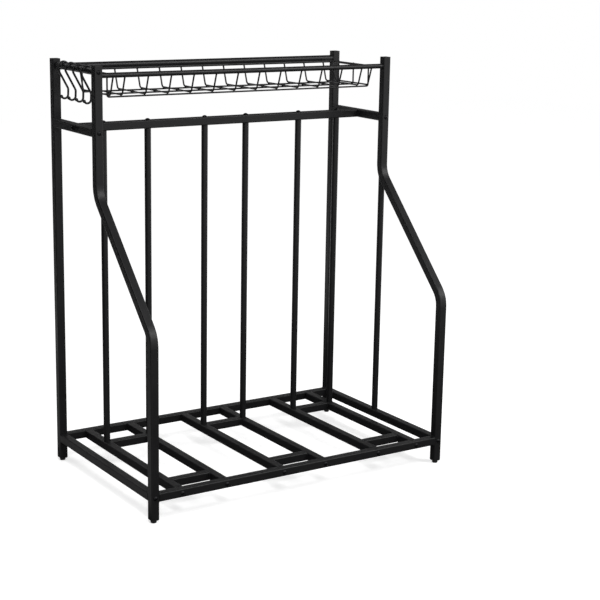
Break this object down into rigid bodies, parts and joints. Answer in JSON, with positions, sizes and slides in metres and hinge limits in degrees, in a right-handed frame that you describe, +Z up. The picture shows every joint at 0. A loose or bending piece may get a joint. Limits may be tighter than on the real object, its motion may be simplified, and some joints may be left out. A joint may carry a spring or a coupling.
{
  "type": "floor bike rack",
  "caption": "Free-standing floor rack of black steel tube with upright bars that hold bicycle wheels, a wire basket on top and hanging hooks at one side.",
  "frame": {"origin": "on the floor under the middle of the rack", "axes": "+X to the right seen from the front, +Y to the back where the upright posts are, +Z up"},
  "size_m": [0.8316, 0.516, 1],
  "materials": {
    "powder_coat": "satin powder coat",
    "hook_coat": "satin powder coat",
    "black_plastic": "moulded, matt",
    "bolt_steel": "black oxide"
  },
  "bodies": {
    "frame": {"rear_post_left": "powder_coat", "rear_post_right": "powder_coat", "front_leg_left": "powder_coat", "front_leg_right": "powder_coat", "base_front_rail": "powder_coat", "base_rear_rail": "powder_coat", "base_side_rail_left": "powder_coat", "base_side_rail_right": "powder_coat", "upper_side_rail_left": "powder_coat", "upper_side_rail_right": "powder_coat", "bar_rail": "powder_coat", "right_stay_bar": "powder_coat", "wheel_slat_1": "powder_coat", "wheel_slat_2": "powder_coat", "wheel_slat_3": "powder_coat", "wheel_slat_4": "powder_coat", "wheel_slat_5": "powder_coat", "wheel_slat_6": "powder_coat", "wheel_bar_1": "powder_coat", "wheel_bar_2": "powder_coat", "wheel_bar_3": "powder_coat", "wheel_bar_4": "powder_coat", "wheel_bar_5": "powder_coat", "wheel_bar_6": "powder_coat", "slat_tie_1_front": "powder_coat", "slat_tie_1_rear": "powder_coat", "slat_tie_2_front": "powder_coat", "slat_tie_2_rear": "powder_coat", "slat_tie_3_front": "powder_coat", "slat_tie_3_rear": "powder_coat", "rear_top_rail": "powder_coat", "basket_front_rail": "powder_coat", "basket_rim_rear": "powder_coat", "basket_rim_left": "powder_coat", "basket_rim_right": "powder_coat", "basket_front_wires": "powder_coat", "basket_rear_wires": "powder_coat", "basket_cross_wires": "powder_coat", "basket_long_wires": "powder_coat", "basket_end_left": "powder_coat", "basket_end_right": "powder_coat", "hook_bar": "powder_coat", "foot_front_left": "black_plastic", "foot_front_right": "black_plastic", "foot_rear_left": "black_plastic", "foot_rear_right": "black_plastic", "top_cap_front_left": "black_plastic", "top_cap_front_right": "black_plastic", "top_cap_rear_left": "black_plastic", "top_cap_rear_right": "black_plastic", "post_bolts": "bolt_steel", "slat_bolts_front": "bolt_steel", "slat_bolts_rear": "bolt_steel", "bar_rail_bolts": "bolt_steel", "bar_top_bolts": "bolt_steel", "bar_foot_screws": "bolt_steel"},
    "hook_1": {"s_hook_1": "hook_coat"},
    "hook_2": {"s_hook_2": "hook_coat"},
    "hook_3": {"s_hook_3": "hook_coat"},
    "hook_4": {"s_hook_4": "hook_coat"}
  },
  "joints": [
    {"name": "hook_1_swing", "type": "hinge", "parent": "frame", "child": "hook_1", "pos_m": [-0.401, 0.197, 0.985], "axis": [0, 1, 0], "range_deg": [-18, 70]},
    {"name": "hook_2_swing", "type": "hinge", "parent": "frame", "child": "hook_2", "pos_m": [-0.401, 0.1557, 0.985], "axis": [0, 1, 0], "range_deg": [-18, 70]},
    {"name": "hook_3_swing", "type": "hinge", "parent": "frame", "child": "hook_3", "pos_m": [-0.401, 0.1143, 0.985], "axis": [0, 1, 0], "range_deg": [-18, 70]},
    {"name": "hook_4_swing", "type": "hinge", "parent": "frame", "child": "hook_4", "pos_m": [-0.401, 0.073, 0.985], "axis": [0, 1, 0], "range_deg": [-18, 70]}
  ]
}
